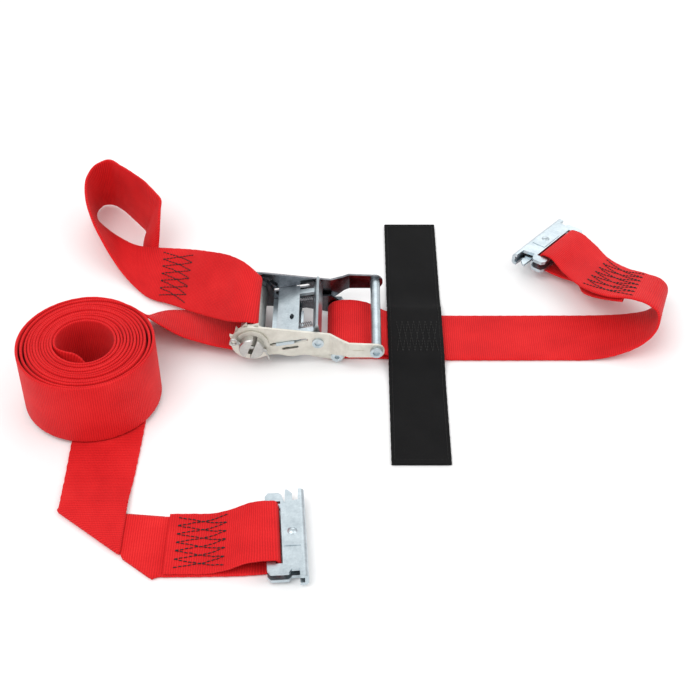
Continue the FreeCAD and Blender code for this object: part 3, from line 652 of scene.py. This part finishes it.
def sheet_from_rows(name, rows, thick, start):
    """A thin closed solid over a grid of (point, (u, v)) rows."""
    table = np.array([[list(p) + list(q) for p, q in row] for row in rows], float)
    places = supported(len(rows) - 1)
    table = rows_at(table.reshape(len(rows), -1), places).reshape(len(places), -1, 5)
    grid, place = table[..., :3], table[..., 3:]
    du = np.gradient(grid, axis=0)
    dv = np.gradient(grid, axis=1)
    normal = unit(np.cross(du, dv))
    count_i, count_j = grid.shape[:2]
    thin = np.ones((count_i, count_j))
    thin[:, 0] = thin[:, -1] = 0.4
    top = grid + normal * thick / 2 * thin[..., None]
    low = grid - normal * thick / 2 * thin[..., None]
    vertices = top.reshape(-1, 3).tolist() + low.reshape(-1, 3).tolist()
    flat_uv = (place + np.array([start, 0.0])).reshape(-1, 2) * MM
    uvs = flat_uv.tolist() * 2
    size = count_i * count_j
    faces = []
    for i in range(count_i - 1):
        for j in range(count_j - 1):
            a = i * count_j + j
            faces.append((a, a + 1, a + count_j + 1, a + count_j))
            faces.append((size + a + count_j, size + a + count_j + 1, size + a + 1, size + a))
    for i in range(count_i - 1):
        for j, turned in ((0, False), (count_j - 1, True)):
            a, b = i * count_j + j, (i + 1) * count_j + j
            face = (a, b, size + b, size + a)
            faces.append(tuple(reversed(face)) if turned else face)
    for j in range(count_j - 1):
        for i, turned in ((0, True), (count_i - 1, False)):
            a, b = i * count_j + j, i * count_j + j + 1
            face = (a, b, size + b, size + a)
            faces.append(tuple(reversed(face)) if turned else face)
    obj = make_object(name, vertices, faces, RED, uvs)
    fix = bmesh.new()
    fix.from_mesh(obj.data)
    bmesh.ops.recalc_face_normals(fix, faces=fix.faces)
    fix.to_mesh(obj.data)
    fix.free()
    return obj


long_run = Strap(LONG_RUN, waver=0.2)
long_run_piece = strap_object("long_strap_run_out", long_run)
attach(long_run_piece, "frame")
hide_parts("long_strap_run")
declare(long_run)

fold = sheet_from_rows("long_strap_fold", fold_piece(), WEB_THICK, long_run.length())
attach(fold, "frame")
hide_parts("long_strap_diagonal_fold")
under = sheet_from_rows("long_strap_under_fold", lower_layer(), WEB_THICK, UNDER_START)
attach(under, "frame")

LONG_END = flat([(-50, ON_FLOOR, -205.85), (-20, ON_FLOOR, -205.5), (10, 1.3, -204.4)])
LONG_LOOP = [LONG_END[-1]] + [LONG.station(u, w) for u, w in (
    (1.0, -OVER + 0.1), (IN_SLOT - 1.6, -OVER + 0.2), (IN_SLOT, -3.2), (IN_SLOT, 3.2),
    (IN_SLOT - 1.3, OVER - 0.2), (1.5, OVER + 0.5))]
LONG_LOOP += [((6, -228.3, 11.4), (6, -178.3, 11.9)), ((-6, -229.4, 6.4), (-6, -179.4, 6.9))]
LONG_LOOP += flat([
    (-18, SECOND_LAYER + 0.3, -205.2), (-32, SECOND_LAYER, -205.3), (-46.5, SECOND_LAYER, -205.4),
])
long_tail = Strap(LONG_END + LONG_LOOP[1:], step=1.0)
long_end = long_tail.part(0, len(LONG_END) - 1)
long_end_piece = strap_object("long_strap_end", long_end, start=END_START)
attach(long_end_piece, "frame")
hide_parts("long_strap_end_run")
declare(long_end)
long_loop = long_tail.part(len(LONG_END) - 1, len(long_tail.marks) - 1)
long_loop_piece = strap_object("long_strap_loop", long_loop, start=END_START)
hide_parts("long_strap_fitting_loop")
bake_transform(long_loop_piece)
declare(long_loop)

# ---- webbing at the spindle, its free end and the pull loop --------------------------------
SLIT = math.radians(70)


def slit_station(distance):
    """Webbing station across the slit, at a distance from the axis toward its upper end."""
    x, z = distance * math.cos(SLIT), AXIS_Z + distance * math.sin(SLIT)
    return ((x, -WEB / 2, z), (x, WEB / 2, z))


SPINDLE_LOWER = [
    slit_station(-9.4), slit_station(-11.6), ((-9.4, -25, 8.7), (-9.4, 25, 7.7)),
    ((-18, -24.5, 9.6), (-19, 25.5, 4.6)), ((-27, -22.5, 10.0), (-28, 26.8, 3.0)), LEAD[0],
]
TAIL = [
    slit_station(9.4), slit_station(11.6),
    ((2.6, -25.5, 34.6), (5.0, 24.4, 36.5)),
    ((-3, -24.5, 34.9), (2.5, 24.2, 41.0)),
    ((-12, -19, 30.5), (-3.5, 28.2, 45.0)),
    ((-29, -2.5, 20), (-17.6, 42.8, 43.0)),
    ((-50, 19, 8.6), (-38, 58, 36)),
    ((-69, 34.2, 3.4), (-58.3, 78.8, 22)),
    ((-83, 41.4, 2.2), (-76, 88.5, 15.5)),
    ((-94, 52.0, 2.0), (-97.8, 101.3, 7.6)),
]
PULL_LOOP = [
    ((-94, 52.0, 2.0), (-97.8, 101.3, 7.6)),
    ((-109, 69, 7.6), (-116, 118.5, 2.4)),
    ((-124.3, 89.1, 21.2), (-131, 134, 1.6)),
    ((-133.1, 103.7, 30.6), (-138.2, 143.7, 1.2)),
    ((-140.4, 124, 40.6), (-140.6, 154.0, 1.0)),
    ((-141.3, 142.3, 46.2), (-138.6, 162, 0.8)),
    ((-136, 155.3, 49), (-134.8, 166.8, 0.7)),
    ((-127, 161.6, 50), (-128.3, 166.9, 0.7)),
    ((-115, 153.0, 50), (-118.6, 159.6, 0.7)),
    ((-103, 141.5, 50), (-107, 145.1, 0.7)),
    ((-90.5, 127.5, 49.6), (-96.4, 130.6, 0.8)),
    ((-83.0, 116.5, 49.2), (-96.2, 129.6, 1.0)),
    ((-78.8, 110.3, 48.5), (-95.6, 128.4, 1.2)),
    ((-78.5, 103.1, 43.0), (-96.0, 120.1, 1.3)),
    ((-79.1, 95.5, 34.0), (-96.2, 113.2, 1.5)),
    ((-80.4, 93.0, 22.0), (-95.8, 105.0, 1.7)),
    ((-81.7, 91.7, 11.0), (-95.2, 95.4, 2.0)),
    ((-79.5, 82.0, 7.6), (-93.0, 88.0, 2.4)),
]

lower = Strap(SPINDLE_LOWER, step=1.2)
lower_piece = strap_object("long_strap_under_spindle", lower)
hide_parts("long_strap_spindle_pass")
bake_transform(lower_piece)
declare(lower)

in_slit = Strap([slit_station(-9.6), slit_station(0), slit_station(9.6)])
in_slit_piece = strap_object("long_strap_in_slit", in_slit)
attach(in_slit_piece, "spindle")
declare(in_slit)

free_end = Strap(TAIL + PULL_LOOP[1:], step=1.5)
tail = free_end.part(0, len(TAIL) - 1)
tail_piece = strap_object("long_strap_free_end", tail)
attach(tail_piece, "frame")
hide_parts("long_strap_tail")
declare(tail)
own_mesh(tail_piece)

loop = free_end.part(len(TAIL) - 1, len(free_end.marks) - 1)
loop_piece = strap_object("pull_loop_band", loop)
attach(loop_piece, "frame")
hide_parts("pull_loop", "pull_loop_return")
declare(loop)

# ---- stitching -----------------------------------------------------------------------------
def u_at(strap, x, after=0.0):
    """Length along a strap where its middle passes an x, counting from a length."""
    middle = (strap.near + strap.far) / 2
    best, found = 1e9, 0.0
    for u, p in zip(strap.u, middle):
        if u >= after and abs(p[0] - x) < best:
            best, found = abs(p[0] - x), float(u)
    return found


half_way = long_loop.u[0] + long_loop.length() * 0.45
sewn_patch("long_strap_stitches", long_loop, u_at(long_loop, -7.5, half_way),
           u_at(long_loop, -40.5, half_way))
sewn_patch("short_strap_stitches", short_main, short_main.u[-1] - 68.0, short_main.u[-1] - 24.0)
tail_patch_end = u_at(tail, -75.5, 30)
sewn_patch("pull_loop_stitches", tail, tail_patch_end - 31.0, tail_patch_end, t0=0.1, t1=0.9, skew=9.0)

# ---- storage pad ---------------------------------------------------------------------------
OVER_STRAPS = SECOND_LAYER + 1.1 + 1.3
PAD_LINE = [
    (-133.5, 1.1), (-100, 1.1), (-62, 1.15), (-47, 1.7), (-38, 3.4), (-29.5, OVER_STRAPS - 0.3),
    (-20, OVER_STRAPS),
    (16, OVER_STRAPS), (25, OVER_STRAPS - 0.3), (33, 3.2), (42, 1.6), (56, 1.15), (95, 1.1), (137.5, 1.1),
]
pad = Strap([((99.8, y, z), (141.2, y, z)) for y, z in PAD_LINE], thick=1.9, waver=0.1)
pad_piece = strap_object("storage_pad_strip", pad, material=PAD, width=41.5)
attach(pad_piece, "frame")
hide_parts("storage_pad")
declare(pad)
border = [(3.0, 0.06), (pad.length() - 3.0, 0.06), (pad.length() - 3.0, 0.94), (3.0, 0.94), (3.0, 0.06)]
hem_vertices, hem_faces = stitch_run(pad, border, pitch=3.4, lift=pad.thick / 2, radius=0.2, jitter=0.05)
hem = make_object("storage_pad_hem", hem_vertices, hem_faces, PAD_THREAD)
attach(hem, "frame")
pad_mid = pad.length() * 0.49
sewn_patch("storage_pad_stitches", pad, pad_mid - 24.0, pad_mid + 10.0, t0=0.16, t1=0.9, rows=7,
           material=PAD_THREAD, radius=0.34)


# ---- springs -------------------------------------------------------------------------------
def helix(name, start, direction, length, radius, wire, turns, body, nodes):
    """A compression spring as a wire helix with closed ends."""
    start, direction = np.array(start, float), unit(np.array(direction, float))
    side = unit(np.cross(direction, (0.0, 1.0, 0.0)))
    up = np.cross(side, direction)
    vertices, faces = [], []
    count = int(turns * 18)
    ring = 7
    centres = []
    for k in range(count + 1):
        share = k / count
        travel = length * min(1.0, max(0.0, (share - 0.08) / 0.84))
        turn = 2 * math.pi * turns * share
        centres.append(start + direction * (wire + travel * (1 - 2 * wire / length))
                       + radius * (math.cos(turn) * side + math.sin(turn) * up))
    centres = np.array(centres)
    tangents = unit(np.gradient(centres, axis=0))
    for centre, tangent in zip(centres, tangents):
        first = unit(np.cross(tangent, direction))
        second = np.cross(tangent, first)
        for m in range(ring):
            turn = 2 * math.pi * m / ring
            vertices.append((centre + wire * (math.cos(turn) * first + math.sin(turn) * second)).tolist())
    for k in range(count):
        for m in range(ring):
            a, b = k * ring + m, k * ring + (m + 1) % ring
            faces.append((a, b, b + ring, a + ring))
    faces.append(tuple(reversed(range(ring))))
    faces.append(tuple(count * ring + m for m in range(ring)))
    obj = make_object(name, vertices, faces, SPRING)
    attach(obj, body)
    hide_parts(*nodes)
    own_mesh(obj)


PAWL_SLOPE = math.radians(10.4)
pawl_z = 20.2 + (33.7 - 14.5) * math.tan(PAWL_SLOPE)
pawl_slide = (math.cos(PAWL_SLOPE), 0, math.sin(PAWL_SLOPE))
for side, name in ((-1, "near"), (1, "far")):
    helix("pawl_spring_" + name, (34.2, side * 14, pawl_z - 0.5), pawl_slide,
          9.6, 1.55, 0.32, 7, "handle", ["drive_pawl_spring_" + name])
helix("lock_spring", (30.0, 0, 14.5), (1, 0, 0), 5.0, 1.8, 0.32, 4, "frame",
      ["lock_pawl_spring"])


# ---- steel parts carried over from the frame -----------------------------------------------
FINISH = {
    ZINC: ["grip_tube", "drive_pawl", "lock_pawl", "anchor_nut", "frame_cross_plate", "fitting_body_long",
           "fitting_body_short", "fitting_latch_long", "fitting_latch_short", "fitting_rivet_long",
           "fitting_rivet_short", "cross_rod", "grip_bolt", "anchor_bolt"],
    PLATE: ["frame_side_near", "handle_side_near", "ratchet_wheel_near", "spindle_washer_near"],
    # The far-side parts take the painted-shade copy of the plate steel.
    SHADED_PLATE_COPY: ["frame_side_far", "handle_side_far", "ratchet_wheel_far", "spindle_washer_far"],
    SPINDLE: ["spindle_half_left", "spindle_half_right", "cotter_pin_near", "cotter_pin_far"],
    SPRING: ["fitting_latch_spring_long", "fitting_latch_spring_short"],
}
SOFT_EDGE = {"fitting_body_long": 0.5, "fitting_body_short": 0.5, "drive_pawl": 0.3,
             "frame_cross_plate": 0.4}


def finish_steel(obj, material, width):
    """Material and a small rounded edge on a carried-over part."""
    obj.data.materials.clear()
    obj.data.materials.append(material)
    edge = obj.modifiers.new("soft_edge", "BEVEL")
    edge.width = width * MM
    edge.segments = 2
    edge.limit_method = "ANGLE"
    edge.angle_limit = math.radians(40)
    edge.use_clamp_overlap = True
    edge.harden_normals = False


for material, names in FINISH.items():
    for name in names:
        finish_steel(NODES[name], material, SOFT_EDGE.get(name, 0.25))


# ---- stage, light and camera ---------------------------------------------------------------
def stage_floor():
    """Pale floor, slightly uneven in tone."""
    material, tree, shader = new_material("floor_pale")
    place = tree.nodes.new("ShaderNodeTexCoord").outputs["Object"]
    tone = noise(tree, place, 3.0, 2.0)
    colour = ramp(tree, tone, [(0.2, (0.93, 0.93, 0.93)), (0.8, (0.96, 0.96, 0.96))])
    tree.links.new(colour, shader.inputs["Base Color"])
    shader.inputs["Roughness"].default_value = 0.9
    shader.inputs["Specular IOR Level"].default_value = 0.1
    mesh = bpy.data.meshes.new("floor")
    build = bmesh.new()
    bmesh.ops.create_grid(build, x_segments=4, y_segments=4, size=6.0)
    build.to_mesh(mesh)
    build.free()
    mesh.materials.append(material)
    floor = bpy.data.objects.new("floor", mesh)
    floor.location = (0, 0, -0.0004)
    bpy.context.scene.collection.objects.link(floor)


def area_light(name, position, target, size, power):
    """Square soft light aimed at a point."""
    data = bpy.data.lights.new(name, "AREA")
    data.shape = "SQUARE"
    data.size = size
    data.energy = power
    obj = bpy.data.objects.new(name, data)
    obj.location = position
    obj.rotation_euler = (Vector(target) - Vector(position)).to_track_quat("-Z", "Y").to_euler()
    bpy.context.scene.collection.objects.link(obj)


stage_floor()
area_light("key", (-0.55, -0.75, 1.5), (0.05, 0, 0), 1.2, 12.0)
area_light("fill", (1.3, -0.5, 1.1), (0.05, 0, 0), 1.3, 6.0)
area_light("back", (0.2, 1.5, 1.0), (0.05, 0, 0.02), 1.3, 6.0)
world = bpy.data.worlds.new("studio")
world.use_nodes = True
world.node_tree.nodes["Background"].inputs[0].default_value = (1, 1, 1, 1)
world.node_tree.nodes["Background"].inputs[1].default_value = 0.78
bpy.context.scene.world = world
bpy.context.scene.view_settings.view_transform = "Standard"

camera_data = bpy.data.cameras.new("camera")
camera_data.sensor_width = 36.0
camera_data.lens = 71.34
camera_data.clip_start = 0.01
camera = bpy.data.objects.new("camera", camera_data)
camera.location = (0.0715, -0.78535, 0.6932)
aim = Vector((0.0715, -0.0155, 0.0)) - camera.location
camera.rotation_euler = aim.to_track_quat("-Z", "Y").to_euler()
bpy.context.scene.collection.objects.link(camera)
bpy.context.scene.camera = camera
